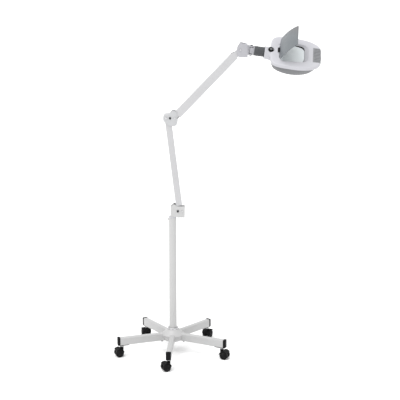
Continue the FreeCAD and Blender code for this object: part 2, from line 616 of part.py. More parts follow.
def make_neck_spindle():
    """Knuckle, flange and spindle in one: it swivels on the pin and the head rolls on it."""
    knuckle = rod(10.0, V(SWIVEL_U, 0, -KNUCKLE_HALF), UP, 2 * KNUCKLE_HALF)
    bridge = box(SWIVEL_U, -47, -10, 10, -KNUCKLE_HALF, KNUCKLE_HALF)
    flange = rod(COLLAR_RADIUS, V(-47.8, 0, 0), FORWARD, 2.0)
    spindle = rod(SPINDLE_RADIUS, V(-46.5, 0, 0), FORWARD, 62.3)
    neck = fuse([knuckle, bridge, flange, spindle])
    return on_neck(neck.cut(rod(3.5 + RUN, V(SWIVEL_U, 0, -30), UP, 60)))


def make_collar_ring():
    ring = tube(COLLAR_RADIUS, SPINDLE_RADIUS + 0.1, V(-45.6, 0, 0), FORWARD, 11.8)
    groove = tube(COLLAR_RADIUS + 1, COLLAR_RADIUS - 1.2, V(-40.6, 0, 0), FORWARD, 1.6)
    return on_neck(ring.cut(groove))


def make_ribbed_collar():
    """The grip that locks the head's roll, with shallow rings cut round it."""
    start = -33.2
    drum = tube(COLLAR_RADIUS + 0.6, SPINDLE_RADIUS + RUN, V(start, 0, 0), FORWARD, NECK_FACE - 0.6 - start)
    for step in range(5):
        start = -27.5 + step * 6.6
        drum = drum.cut(tube(COLLAR_RADIUS + 2, COLLAR_RADIUS - 0.8, V(start, 0, 0), FORWARD, 2.0))
    return on_neck(drum)


def neck_nodes():
    nut = tube(11.5, SPINDLE_RADIUS + 0.05, V(13.0, 0, 0), FORWARD, 2.7)
    return {
        "tilt_bracket": make_tilt_bracket(),
        "tilt_screw": screw_across(TILT_POINT, BOLT, 4.6, 19.0, 2.0),
        "swivel_pin": make_swivel_pin(),
        "swivel_washers": make_swivel_washers(),
        "neck_spindle": make_neck_spindle(),
        "collar_ring": make_collar_ring(),
        "ribbed_collar": make_ribbed_collar(),
        "spindle_nut": on_neck(nut),
    }


# ================================================================ head
def on_head(shape):
    placed = shape.copy()
    placed.Placement = HEAD_PLACE.multiply(placed.Placement)
    return placed


def outline_wire(half, height, inset=0.0):
    """A closed smooth outline, symmetric about the neck's line, moved inwards by the inset."""
    points = [V(u, -w, 0) for u, w in half] + [V(u, w, 0) for u, w in reversed(half)]
    count = len(points)
    moved = []
    for index in range(count):
        along = (points[(index + 1) % count] - points[index - 1]).normalize()
        inward = V(-along.y, along.x, 0)
        moved.append(points[index] + inward * inset + V(0, 0, height))
    curve = Part.BSplineCurve()
    curve.interpolate(Points=moved, PeriodicFlag=True)
    return Part.Wire(curve.toShape())


def smooth_prism(half, inset, low, high):
    return Part.Face(outline_wire(half, low, inset)).extrude(V(0, 0, high - low))


def window_wire(window, height, grow=0.0):
    """The rounded, tapered lens window, grown outwards on every side."""
    start, end, wide, narrow, corner = window
    points = [(start - grow, -wide / 2 - grow, corner + grow), (end + grow, -narrow / 2 - grow, corner + grow),
              (end + grow, narrow / 2 + grow, corner + grow), (start - grow, wide / 2 + grow, corner + grow)]
    wire = rounded_wire(points)
    wire.translate(V(0, 0, height))
    return wire


def window_prism(window, grow, low, high):
    return Part.Face(window_wire(window, low, grow)).extrude(V(0, 0, high - low))


def neck_section(u, half_width, low, high):
    """A closed oval section across the neck."""
    count = 16
    middle, half_height = (high + low) / 2, (high - low) / 2
    points = []
    for index in range(count):
        turn = 2 * math.pi * index / count
        points.append(V(u, half_width * math.cos(turn), middle + half_height * math.sin(turn)))
    curve = Part.BSplineCurve()
    curve.interpolate(Points=points, PeriodicFlag=True)
    return Part.Wire(curve.toShape())


NECK_FACE = 5.2              # the neck's end face, next to the ribbed collar
NECK_JOIN = 43.9             # the neck is open to the housing past here
NECK_SECTIONS = ((NECK_FACE, 31.0, -32.0, 29.0), (12.0, 32.5, -33.0, 27.6), (26.0, 36.5, -32.0, 23.4),
                 (44.0, 54.0, -27.0, 19.5))


def neck_loft(shrink, first, last):
    wires = []
    for u, half_width, low, high in NECK_SECTIONS:
        place = first if u < 10 else (last if u > 40 else u)
        wires.append(neck_section(place, half_width - shrink, low + shrink, high - shrink))
    return Part.makeLoft(wires, True, False)


GRILLE_START, GRILLE_HALF = 243.0, 54.0
GRILLE_FLOOR, GRILLE_LIP = 19.7, 12.0     # under the vented panel, and where it ends down the nose
GRILLE_NOSE = 276.0
KNOB_POCKET = 17.5


def grille_block(grow):
    """The corner of the housing that the vented panel fills."""
    side = GRILLE_HALF + grow
    top = box(GRILLE_START - grow, 300, -side, side, GRILLE_FLOOR - grow / 2, 40)
    return top.fuse(box(GRILLE_NOSE - grow, 300, -side, side, GRILLE_LIP - grow, 40))


def cover_solid():
    solid = smooth_prism(COVER_HALF, 0, COVER_LOW, COVER_TOP)
    return fillet_where(solid, 9.0, lambda c, e: c.z > COVER_TOP - 0.5)


def in_knob_frame(shape):
    placed = shape.copy()
    placed.Placement = KNOB_FRAME.multiply(placed.Placement)
    return placed


def knob_boss():
    """The block of the housing that the knob's pocket is sunk in."""
    return in_knob_frame(rod(KNOB_POCKET + 2.0, V(0, 0, -7), UP, 9))


def head_room():
    """The hollow in the neck and the housing, less the lens funnel, the grille's backing and the boss."""
    room = smooth_prism(COVER_HALF, COVER_WALL, COVER_LOW - 40, COVER_TOP - COVER_WALL)
    room = room.cut(box(0, NECK_JOIN, -150, 150, -60, 60))
    room = room.fuse(neck_loft(COVER_WALL, NECK_FACE - 1.4, 48.0))
    funnel = Part.makeLoft([window_wire(LENS_SEAT, 9.6, 2.4), window_wire(LENS_WINDOW, 23.0, 2.4)], True, True)
    backing = box(234, 300, -64, 64, 15, COVER_TOP - COVER_WALL + 0.5).fuse(box(267, 300, -60, 60, COVER_LOW, 20))
    for solid in (funnel, backing, knob_boss()):
        room = room.cut(solid)
    return room


def make_head_cover():
    """The upper housing: neck socket, rounded top, lens window with sloping sides, vent recess."""
    cover = cover_solid().fuse(neck_loft(0, NECK_FACE, 44.0)).fuse(knob_boss())
    cover = cover.cut(head_room())
    view = Part.makeLoft([window_wire(LENS_SEAT, 9.5), window_wire(LENS_WINDOW, 24.0)], True, True)
    cover = cover.cut(view).cut(window_prism(LENS_WINDOW, 0, 23.9, 40))
    cover = cover.cut(in_knob_frame(rod(KNOB_POCKET, V(0, 0, 0), UP, 20)))
    cover = cover.cut(in_knob_frame(rod(3.0 + RUN, V(0, 0, -20), UP, 25)))
    return cover.cut(grille_block(0.3))


def shell_loft(inset, top, low):
    wires = [outline_wire(SHELL_HALF, top, inset), outline_wire(SHELL_MID_HALF, -14, inset),
             outline_wire(SHELL_LOW_HALF, low, inset)]
    return Part.makeLoft(wires, True, False)


def make_lower_shell():
    """The bowl under the head: it holds the lamp board and the diffuser."""
    outer = shell_loft(0, 7.6, SHELL_LOW)
    inner = shell_loft(SHELL_WALL, 8.6, SHELL_LOW + SHELL_WALL)
    shell = outer.cut(inner).cut(box(20, 44.6, -61, 61, -60, 30))
    return shell.cut(smooth_prism(SHELL_LOW_HALF, 9.0, SHELL_LOW - 1, SHELL_LOW + 10))


WELL = (84.0, 198.0, 142.0, 106.0, 27.0)


def make_lens_frame():
    """The well under the lens: it carries the lens and screens it from the lamps."""
    low = SHELL_LOW + 3.2
    return window_prism(WELL, 2.5, low, LENS_LOW - 0.3).cut(window_prism(WELL, 0, low - 1, LENS_LOW + 1))


def make_lens():
    blank = window_prism(LENS_SEAT, 0.5, LENS_LOW, LENS_RIM).fuse(
        window_prism(LENS_SEAT, -0.6, LENS_LOW, LENS_CROWN + 2))
    ball = Part.makeSphere(LENS_SPHERE, V((LENS_SEAT[0] + LENS_SEAT[1]) / 2, 0, LENS_CROWN - LENS_SPHERE))
    return blank.common(ball)


def make_diffuser():
    plate = smooth_prism(SHELL_LOW_HALF, 4.2, SHELL_LOW + 3.0, SHELL_LOW + 5.0)
    return plate.cut(window_prism(WELL, 2.8, -60, 0))


def make_led_board():
    """A ring board and its lamps, facing down through the diffuser."""
    ring = smooth_prism(SHELL_LOW_HALF, 5.0, -16.0, -14.4).cut(window_prism(WELL, 3.2, -60, 0))
    ring = ring.cut(box(0, 61, -120, 120, -60, 0))
    lamps = []
    for side in (-1, 1):
        for step in range(12):
            u = 92 + step * 9.4
            share = (u - WELL[0]) / (WELL[1] - WELL[0])
            v = side * ((WELL[2] + share * (WELL[3] - WELL[2])) / 2 + 8.0)
            lamps.append(box(u - 1.7, u + 1.7, v - 1.4, v + 1.4, -17.1, -16.02))
    return Part.Compound([ring] + lamps)


def make_end_grille():
    """The vented panel: its slots run over the edge and down the nose."""
    panel = cover_solid().common(grille_block(0))
    for step in range(9):
        v = (step - 4) * 11.0
        slot = box(GRILLE_START + 6, 300, v - 2.0, v + 2.0, COVER_TOP - 2.4, 40)
        panel = panel.cut(slot.fuse(box(281.2, 300, v - 2.0, v + 2.0, GRILLE_LIP + 2, 40)))
    return panel


LID = ((82.5, 75.0, 18.0), (146.0, 76.5, 500.0), (209.5, 70.5, 5.0))   # along the neck, half width, radius
KNUCKLE_LONG = 8.5


def make_lid():
    """The lens cover, made closed and then turned open about its hinge."""
    low = COVER_TOP + 1.0
    points = [(u, -w, r) for u, w, r in LID] + [(u, w, r) for u, w, r in reversed(LID)]
    wire = rounded_wire(points)
    wire.translate(V(0, 0, low - 1))
    middle, half = (LID[0][0] + LID[2][0]) / 2, (LID[2][0] - LID[0][0]) / 2
    centre = V(middle, -100, low - math.sqrt(LID_ARCH ** 2 - half ** 2))
    sheet = tube(LID_ARCH + LID_THICK, LID_ARCH, centre, ACROSS, 200)
    plate = Part.Face(wire).extrude(V(0, 0, 30)).common(sheet)
    pieces = [plate]
    for start in (-27.0, 18.5):
        knuckle = rod(LID_KNUCKLE, V(LID_U, start, LID_N), ACROSS, KNUCKLE_LONG)
        arm = box(LID_U, LID[0][0] + 6.5, start, start + KNUCKLE_LONG, low + 0.2, low + 2.6)
        pieces += [knuckle, arm]
    lid = fuse(pieces).cut(rod(LID_PIN + RUN, V(LID_U, -40, LID_N), ACROSS, 80))
    lid.rotate(V(LID_U, 0, LID_N), V(0, -1, 0), LID_OPEN)
    return on_head(lid)


def make_lid_hinge():
    barrel = rod(LID_KNUCKLE + 0.2, V(LID_U, -17, LID_N), ACROSS, 34)
    foot = box(LID_U - 9.0, LID_U + LID_KNUCKLE, -17, 17, COVER_TOP + 0.1, LID_N)
    hinge = fuse([barrel, foot])
    return on_head(hinge.cut(rod(LID_PIN + RUN, V(LID_U, -40, LID_N), ACROSS, 80)))


def make_knob():
    """The dimmer knob, with a pointer groove, and its shaft through the housing."""
    top = 0.6 + KNOB_HEIGHT
    grip = rod(KNOB_RADIUS, V(0, 0, 0.6), UP, KNOB_HEIGHT)
    grip = fillet_where(grip, 2.2, lambda c, e: c.z > top - 0.5 and e.Closed)
    dish = rod(8.4, V(0, 0, top - 1.0), UP, 3.0)
    pointer = box(4, 16, -0.8, 0.8, top - 1.2, top + 3)
    shaft = rod(3.0, V(0, 0, -9), UP, 11)
    return on_head(in_knob_frame(fuse([grip, shaft]).cut(dish).cut(pointer)))


def head_nodes():
    bezel = in_knob_frame(tube(KNOB_POCKET - 0.3, KNOB_RADIUS + 0.6, V(0, 0, 0.1), UP, 2.4))
    bush = tube(20.5, SPINDLE_RADIUS + RUN, V(NECK_FACE + 0.2, 0, 0), FORWARD, 7.4)
    return {
        "head_cover": on_head(make_head_cover()),
        "lower_shell": on_head(make_lower_shell()),
        "lens_frame": on_head(make_lens_frame()),
        "lens": on_head(make_lens()),
        "diffuser": on_head(make_diffuser()),
        "led_board": on_head(make_led_board()),
        "end_grille": on_head(make_end_grille()),
        "neck_bush": on_head(bush),
        "lid": make_lid(),
        "lid_hinge": make_lid_hinge(),
        "lid_hinge_pin": on_head(rod(LID_PIN, V(LID_U, -27.5, LID_N), ACROSS, 55)),
        "dimmer_knob": make_knob(),
        "knob_bezel": on_head(bezel),
    }


def all_nodes():
    nodes = {}
    for group in (base_nodes, column_nodes, swivel_nodes, arm_nodes, neck_nodes, head_nodes):
        nodes.update(group())
    return nodes


def main():
    os.makedirs("parts", exist_ok=True)
    nodes = all_nodes()
    for name, shape in nodes.items():
        if not shape.isValid():
            print("not valid:", name)
        shape.exportStep("parts/" + name + ".step")
    print(len(nodes), "nodes")


main()
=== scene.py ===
"""Looks for the magnifying lamp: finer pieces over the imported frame, materials, studio and camera.

Lengths are in metres unless a name ends in _MM. Pieces of the head are laid out in the head's own
axes, which come from the frame: u along the neck, n up out of the lens, v across.
"""
import json
import math

import bmesh
import bpy
from mathutils import Matrix, Vector


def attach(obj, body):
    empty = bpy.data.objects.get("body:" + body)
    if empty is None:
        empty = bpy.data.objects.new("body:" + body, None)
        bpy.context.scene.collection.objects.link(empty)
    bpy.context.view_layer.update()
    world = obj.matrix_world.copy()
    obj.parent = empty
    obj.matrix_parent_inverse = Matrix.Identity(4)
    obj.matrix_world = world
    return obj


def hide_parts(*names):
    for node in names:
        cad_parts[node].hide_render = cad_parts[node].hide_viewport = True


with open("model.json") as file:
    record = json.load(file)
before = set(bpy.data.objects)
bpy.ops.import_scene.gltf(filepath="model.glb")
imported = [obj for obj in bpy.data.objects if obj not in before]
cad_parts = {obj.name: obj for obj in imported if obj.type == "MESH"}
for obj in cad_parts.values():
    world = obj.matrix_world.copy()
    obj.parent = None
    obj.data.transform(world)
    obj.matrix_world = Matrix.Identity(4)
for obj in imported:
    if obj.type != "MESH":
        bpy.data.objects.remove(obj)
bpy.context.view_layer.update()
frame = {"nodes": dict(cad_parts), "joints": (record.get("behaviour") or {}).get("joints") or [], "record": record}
NODES = frame["nodes"]
JOINTS = {joint["name"]: joint for joint in frame["joints"]}
BODIES = frame["record"]["behaviour"]["bodies"]
BODY_OF = {node: body for body, nodes in BODIES.items() for node in nodes}
SLOT_OF = {part["node"]: part["material_slot"] for part in frame["record"]["subparts"]}
MM = 0.001


# ================================================================ axes read from the frame
def joint_point(name):
    return Vector(JOINTS[name]["pos_m"])


def joint_axis(name):
    return Vector(JOINTS[name]["axis"]).normalized()


def axes_matrix(origin, x_axis, y_axis, z_axis):
    """Millimetres along these three axes, from this origin, to metres in the row's frame."""
    turn = Matrix((x_axis, y_axis, z_axis)).transposed().to_4x4()
    return Matrix.Translation(origin) @ turn @ Matrix.Scale(MM, 4)


def matrix_along(origin, z_axis, x_hint=Vector((0, 0, 1))):
    """As axes_matrix, with only the local z axis given."""
    x_axis = (x_hint - z_axis * x_hint.dot(z_axis)).normalized()
    return axes_matrix(origin, x_axis, z_axis.cross(x_axis), z_axis)


HEAD_U = joint_axis("head_roll")
HEAD_V = -joint_axis("lid_open")
HEAD_N = HEAD_U.cross(HEAD_V)
HEAD = axes_matrix(joint_point("head_roll"), HEAD_U, HEAD_V, HEAD_N)
NECK_N = joint_axis("head_swivel")
NECK = axes_matrix(joint_point("head_roll"), HEAD_U, NECK_N.cross(HEAD_U), NECK_N)

# The height, with the lid open at rest, where painted shade starts to darken its tone towards the tip, and its
# free end.
LID_SHADE_FROM_Z, LID_TIP_Z = 1.64, 1.685


# ================================================================ material helpers
class Shader:
    """A node tree being built: each method adds nodes and returns the output socket."""

    def __init__(self, name):
        self.material = bpy.data.materials.new(name)
        self.material.use_nodes = True
        self.nodes = self.material.node_tree.nodes
        self.links = self.material.node_tree.links
        self.surface = self.nodes["Principled BSDF"]
        self.place = self.nodes.new("ShaderNodeTexCoord").outputs["Object"]

    def set(self, **values):
        for name, value in values.items():
            self.surface.inputs[name.replace("_", " ")].default_value = value

    def feed(self, name, socket):
        self.links.new(socket, self.surface.inputs[name])

    def stretched(self, scale):
        node = self.nodes.new("ShaderNodeMapping")
        node.inputs["Scale"].default_value = scale
        self.links.new(self.place, node.inputs["Vector"])
        return node.outputs["Vector"]

    def noise(self, scale, detail=3.0, roughness=0.5, vector=None):
        node = self.nodes.new("ShaderNodeTexNoise")
        node.inputs["Scale"].default_value = scale
        node.inputs["Detail"].default_value = detail
        node.inputs["Roughness"].default_value = roughness
        self.links.new(vector or self.place, node.inputs["Vector"])
        return node.outputs["Fac"]

    def cells(self, scale):
        node = self.nodes.new("ShaderNodeTexVoronoi")
        node.inputs["Scale"].default_value = scale
        self.links.new(self.place, node.inputs["Vector"])
        return node.outputs["Distance"]

    def ranged(self, socket, low_in, high_in, low_out, high_out):
        node = self.nodes.new("ShaderNodeMapRange")
        node.inputs["From Min"].default_value = low_in
        node.inputs["From Max"].default_value = high_in
        node.inputs["To Min"].default_value = low_out
        node.inputs["To Max"].default_value = high_out
        self.links.new(socket, node.inputs["Value"])
        return node.outputs["Result"]

    def maths(self, operation, first, second):
        node = self.nodes.new("ShaderNodeMath")
        node.operation = operation
        for index, value in enumerate((first, second)):
            if isinstance(value, (int, float)):
                node.inputs[index].default_value = value
            else:
                self.links.new(value, node.inputs[index])
        return node.outputs["Value"]

    def mix(self, factor, first, second):
        node = self.nodes.new("ShaderNodeMix")
        node.data_type = "RGBA"
        self.links.new(factor, node.inputs["Factor"])
        for name, value in (("A", first), ("B", second)):
            socket = [s for s in node.inputs if s.name == name and s.type == "RGBA"][0]
            if isinstance(value, tuple):
                socket.default_value = (*value, 1.0)
            else:
                self.links.new(value, socket)
        return [s for s in node.outputs if s.type == "RGBA"][0]

    def edges(self, low, high):
        """Near one on outer edges, near zero on flats."""
        geometry = self.nodes.new("ShaderNodeNewGeometry")
        return self.ranged(geometry.outputs["Pointiness"], low, high, 0.0, 1.0)

    def bump(self, height, strength, distance, under=None):
        node = self.nodes.new("ShaderNodeBump")
        node.inputs["Strength"].default_value = strength
        node.inputs["Distance"].default_value = distance
        self.links.new(height, node.inputs["Height"])
        if under:
            self.links.new(under, node.inputs["Normal"])
        return node.outputs["Normal"]


def scaled(colour, factor):
    return tuple(min(1.0, channel * factor) for channel in colour)


# The brightest channel of a plastic that counts as black, and the gloss of black and paler ones.
BLACK_BELOW, BLACK_GLOSS, PALE_GLOSS = 0.05, 0.10, 0.45
EDGE_WEAR = 0.25


def painted(name, colour, roughness, wear=EDGE_WEAR):
    """Powder-coated metal: orange peel, faint tone drift, a little grime, thinner paint on edges."""
    s = Shader(name)
    drift = s.ranged(s.noise(7.0, 4.0, 0.6), 0.3, 0.7, 0.0, 1.0)
    tone = s.mix(drift, scaled(colour, 0.965), scaled(colour, 1.02))
    grime = s.ranged(s.noise(38.0, 6.0, 0.65), 0.60, 0.80, 0.0, 0.30)
    tone = s.mix(grime, tone, scaled(colour, 0.86))
    patches = s.ranged(s.noise(160.0, 3.0), 0.45, 0.65, 0.0, wear)
    rubbed = s.maths("MULTIPLY", s.edges(0.54, 0.62), patches)
    tone = s.mix(rubbed, tone, scaled(colour, 0.74))
    s.feed("Base Color", tone)
    smudge = s.noise(22.0, 5.0, 0.6)
    s.feed("Roughness", s.ranged(smudge, 0.3, 0.7, roughness - 0.07, roughness + 0.09))
    peel = s.bump(s.noise(520.0, 2.0), 0.28, 0.0003)
    s.feed("Normal", s.bump(s.cells(1400.0), 0.06, 0.0001, peel))
    s.set(Coat_Weight=0.12, Coat_Roughness=0.25, Specular_IOR_Level=PALE_GLOSS)
    return s.material


def moulded(name, colour, roughness, grain, scuff=0.12, coat=0.0):
    """Injection-moulded plastic: spark-eroded grain, handling marks and paler scuffed edges."""
    s = Shader(name)
    drift = s.ranged(s.noise(11.0, 3.0), 0.3, 0.7, 0.0, 1.0)
    tone = s.mix(drift, scaled(colour, 0.95), scaled(colour, 1.04))
    fleck = s.ranged(s.noise(900.0, 2.0), 0.35, 0.65, 0.0, 0.16)
    tone = s.mix(fleck, tone, scaled(colour, 0.88))
    marks = s.ranged(s.noise(130.0, 4.0), 0.4, 0.7, 0.0, scuff)
    worn = s.maths("MULTIPLY", s.edges(0.53, 0.60), marks)
    tone = s.mix(worn, tone, tuple(min(1.0, c * 0.8 + 0.10) for c in colour))
    s.feed("Base Color", tone)
    smudge = s.noise(26.0, 5.0, 0.62)
    s.feed("Roughness", s.ranged(smudge, 0.3, 0.7, roughness - 0.06, roughness + 0.10))
    fine = s.bump(s.noise(2200.0, 2.0), grain, 0.00012)
    s.feed("Normal", s.bump(s.noise(60.0, 2.0), 0.05, 0.0006, fine))
    gloss = BLACK_GLOSS if max(colour) < BLACK_BELOW else PALE_GLOSS
    s.set(Coat_Weight=coat, Coat_Roughness=0.12, Specular_IOR_Level=gloss)
    return s.material


def metal(name, colour, roughness):
    """Turned and plated steel with fine tool marks."""
    s = Shader(name)
    drift = s.ranged(s.noise(60.0, 4.0), 0.3, 0.7, 0.0, 1.0)
    s.feed("Base Color", s.mix(drift, scaled(colour, 0.88), scaled(colour, 1.06)))
    s.feed("Roughness", s.ranged(s.noise(180.0, 4.0), 0.3, 0.7, roughness - 0.08, roughness + 0.12))
    marks = s.noise(900.0, 2.0, 0.5, s.stretched((1.0, 1.0, 9.0)))
    s.feed("Normal", s.bump(marks, 0.15, 0.0001))
    s.set(Metallic=1.0)
    return s.material


def rolled_wheel(name, colour):
    """Black nylon tyre: dust in the grain and dull scratches from the floor."""
    s = Shader(name)
    dust = s.ranged(s.noise(70.0, 6.0, 0.7), 0.48, 0.78, 0.0, 0.35)
    tone = s.mix(dust, colour, (0.055, 0.054, 0.052))
    streaks = s.noise(260.0, 2.0, 0.5, s.stretched((1.0, 1.0, 14.0)))
    scratch = s.ranged(streaks, 0.60, 0.72, 0.0, 0.30)
    s.feed("Base Color", s.mix(scratch, tone, (0.045, 0.045, 0.045)))
    s.feed("Roughness", s.ranged(s.noise(45.0, 5.0), 0.3, 0.7, 0.38, 0.62))
    s.feed("Normal", s.bump(s.noise(700.0, 3.0), 0.2, 0.0002))
    s.set(Specular_IOR_Level=0.09)
    return s.material


def smoked(name, colour, tip_shade_colour):
    """Semi-gloss smoked plastic with painted shade, darker and more neutral towards its free end, with haze and
    wiping marks.
    """
    s = Shader(name)
    split = s.nodes.new("ShaderNodeSeparateXYZ")
    s.links.new(s.place, split.inputs["Vector"])
    # painted shade: the tone darkens by height towards the lid's free end
    shade_to_tip = s.ranged(split.outputs["Z"], LID_SHADE_FROM_Z, LID_TIP_Z, 0.0, 1.0)
    cloud = s.ranged(s.noise(9.0, 4.0), 0.3, 0.7, 0.0, 1.0)
    tone = s.mix(cloud, scaled(colour, 0.94), scaled(colour, 1.06))
    tone = s.mix(shade_to_tip, tone, tip_shade_colour)
    wipe = s.ranged(s.noise(120.0, 3.0, 0.5, s.stretched((1.0, 8.0, 1.0))), 0.55, 0.75, 0.0, 0.12)
    s.feed("Base Color", s.mix(wipe, tone, scaled(colour, 1.35)))
    s.feed("Roughness", s.ranged(s.noise(30.0, 5.0), 0.3, 0.7, 0.26, 0.42))
    s.feed("Normal", s.bump(s.noise(1500.0, 2.0), 0.08, 0.0001))
    s.set(Coat_Weight=0.2, Coat_Roughness=0.15, Specular_IOR_Level=PALE_GLOSS)
    return s.material


def lens_glass(name):
    """Thick optical glass, faintly green, with a trace of dust and wiping marks."""
    s = Shader(name)
    film = s.ranged(s.noise(30.0, 5.0, 0.6), 0.4, 0.75, 0.0, 1.0)
    s.feed("Base Color", s.mix(film, (0.74, 0.785, 0.80), (0.69, 0.735, 0.75)))
    s.feed("Roughness", s.ranged(s.noise(55.0, 6.0, 0.6), 0.35, 0.75, 0.06, 0.22))
    s.feed("Normal", s.bump(s.noise(14.0, 1.0), 0.03, 0.001))
    s.set(Transmission_Weight=0.12, IOR=1.5, Coat_Weight=0.35, Coat_Roughness=0.12)
    return s.material


def frosted(name):
    """Milky diffuser with a fine prismatic surface."""
    s = Shader(name)
    cloud = s.ranged(s.noise(20.0), 0.3, 0.7, 0.0, 1.0)
    s.feed("Base Color", s.mix(cloud, (0.80, 0.82, 0.83), (0.86, 0.88, 0.88)))
    s.feed("Roughness", s.ranged(s.noise(300.0), 0.3, 0.7, 0.42, 0.58))
    s.feed("Normal", s.bump(s.cells(520.0), 0.4, 0.0004))
    s.set(Transmission_Weight=0.25)
    return s.material


def circuit(name):
    """White solder mask with faint copper tracks under it."""
    s = Shader(name)
    tracks = s.ranged(s.cells(150.0), 0.30, 0.36, 0.0, 0.6)
    s.feed("Base Color", s.mix(tracks, (0.78, 0.79, 0.76), (0.62, 0.66, 0.56)))
    s.feed("Roughness", s.ranged(s.noise(200.0), 0.3, 0.7, 0.35, 0.5))
    s.feed("Normal", s.bump(tracks, 0.2, 0.0002))
    return s.material


LEG_WHITE = (0.43, 0.43, 0.43)
TUBE_WHITE = (0.465, 0.465, 0.465)
ARM_WHITE = (0.475, 0.475, 0.485)
HEAD_WHITE = (0.475, 0.475, 0.505)
NEAR_BLACK = (0.006, 0.006, 0.0065)
MATERIALS = {
    "powder_white": painted("powder_white", LEG_WHITE, 0.42),
    "tube_white": painted("tube_white", TUBE_WHITE, 0.38),
    "arm_white": painted("arm_white", ARM_WHITE, 0.40),
    "bracket_white": painted("bracket_white", scaled(TUBE_WHITE, 1.03), 0.40),
    "elbow_white": moulded("elbow_white", (0.47, 0.475, 0.485), 0.38, 0.16, 0.08, 0.1),
    "tilt_white": moulded("tilt_white", (0.385, 0.385, 0.41), 0.38, 0.16, 0.08, 0.1),
    "plastic_white": moulded("plastic_white", HEAD_WHITE, 0.34, 0.16, 0.10, 0.15),
    "plastic_black": moulded("plastic_black", NEAR_BLACK, 0.50, 0.35, 0.02),
    "wheel_black": rolled_wheel("wheel_black", NEAR_BLACK),
    "collar_grey": moulded("collar_grey", (0.065, 0.068, 0.073), 0.50, 0.35, 0.06),
    "shell_grey": moulded("shell_grey", (0.155, 0.158, 0.165), 0.50, 0.40),
    "grille_grey": moulded("grille_grey", (0.225, 0.23, 0.24), 0.50, 0.40),
    "lid_grey": smoked("lid_grey", (0.138, 0.153, 0.165), (0.136, 0.136, 0.141)),
    "lens_glass": lens_glass("lens_glass"),
    "diffuser_white": frosted("diffuser_white"),
    "board": circuit("board"),
    "steel_bright": metal("steel_bright", (0.55, 0.55, 0.56), 0.32),
    "steel_dark": metal("steel_dark", (0.05, 0.05, 0.055), 0.42),
    "knob_grey": moulded("knob_grey", (0.11, 0.115, 0.12), 0.45, 0.25, 0.05),
    "rubber": moulded("rubber", (0.008, 0.008, 0.009), 0.62, 0.25, 0.02),
}


# ================================================================ mesh helpers
SMOOTH_ANGLE = math.radians(32)      # a sharper edge stays a hard edge in the shading
FLAT_ANGLE = math.radians(0.6)       # facets nearer to level than this become one face
CAD_MERGE, LATHE_MERGE = 0.002 * MM, 0.001 * MM
BEVEL_DEG = 38.0                     # an edge sharper than this is rolled over


def add_object(name, bm, slot_name):
    """Turn a bmesh into an object with its material, smooth but for its real edges."""
    bmesh.ops.recalc_face_normals(bm, faces=bm.faces)
    for face in bm.faces:
        face.smooth = True
    for edge in bm.edges:
        edge.smooth = len(edge.link_faces) != 2 or edge.calc_face_angle(0.0) < SMOOTH_ANGLE
    mesh = bpy.data.meshes.new(name)
    bm.to_mesh(mesh)
    bm.free()
    mesh.materials.append(MATERIALS[slot_name])
    obj = bpy.data.objects.new(name, mesh)
    bpy.context.scene.collection.objects.link(obj)
    return obj


def settle(obj, body, slot_name, *nodes):
    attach(obj, body)
    if nodes:
        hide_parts(*nodes)
    return obj


def refined(node, width_mm, segments=2, angle=BEVEL_DEG, slot_name=None):
    """A finer copy of a CAD node: flats merged into whole faces and its sharp edges rolled over."""
    bm = bmesh.new()
    bm.from_mesh(NODES[node].data)
    bmesh.ops.remove_doubles(bm, verts=bm.verts, dist=CAD_MERGE)
    bmesh.ops.dissolve_limit(bm, angle_limit=FLAT_ANGLE, verts=bm.verts, edges=bm.edges)
    sharp = [edge for edge in bm.edges
             if len(edge.link_faces) == 2 and edge.calc_face_angle(0.0) > math.radians(angle)]
    bmesh.ops.bevel(bm, geom=sharp, offset=width_mm * MM, offset_type="OFFSET", segments=segments,
                    profile=0.7, affect="EDGES", clamp_overlap=True)
    bmesh.ops.triangulate(bm, faces=[f for f in bm.faces if len(f.verts) > 4])
    name = slot_name or SLOT_OF[node]
    obj = add_object(node + "_fine", bm, name)
    return settle(obj, BODY_OF[node], SLOT_OF[node], node)


FLUTED_FROM = 0.93                   # share of the widest radius beyond which flutes are cut


def lathe(bm, profile, matrix, segments=64, wave=0.0, waves=0):
    """Spin a closed (radius, height) profile about the local z axis; wave flutes its outer points."""
    rings = []
    widest = max(radius for radius, height in profile)
    for index in range(segments):
        turn = 2 * math.pi * index / segments
        ring = []
        for radius, height in profile:
            flute = wave * math.cos(waves * turn) if radius > FLUTED_FROM * widest else 0.0
            out = radius + flute
            local = Vector((out * math.cos(turn), out * math.sin(turn), height))
            ring.append(bm.verts.new(matrix @ local))
        rings.append(ring)
    count = len(profile)
    for index in range(segments):
        here, there = rings[index], rings[(index + 1) % segments]
        for step in range(count):
            after = (step + 1) % count
            bm.faces.new((here[step], there[step], there[after], here[after]))
    bmesh.ops.remove_doubles(bm, verts=bm.verts, dist=LATHE_MERGE)
    return bm


def rounded(profile, radius, steps=3):
    """The closed profile with every corner rounded, as arcs of a few points."""
    result = []
    count = len(profile)
    for index in range(count):
        corner = Vector(profile[index])
        before = Vector(profile[index - 1]) - corner
        after = Vector(profile[(index + 1) % count]) - corner
        reach = min(radius, before.length * 0.45, after.length * 0.45)
        start = corner + before.normalized() * reach
        end = corner + after.normalized() * reach
        for step in range(steps + 1):
            t = step / steps
            point = start * (1 - t) ** 2 + corner * 2 * t * (1 - t) + end * t * t
            result.append((point.x, point.y))
    return result


def merge(bm, part):
    """Copy one bmesh into another."""
    mesh = bpy.data.meshes.new("merge")
    part.to_mesh(mesh)
    part.free()
    bm.from_mesh(mesh)
    bpy.data.meshes.remove(mesh)


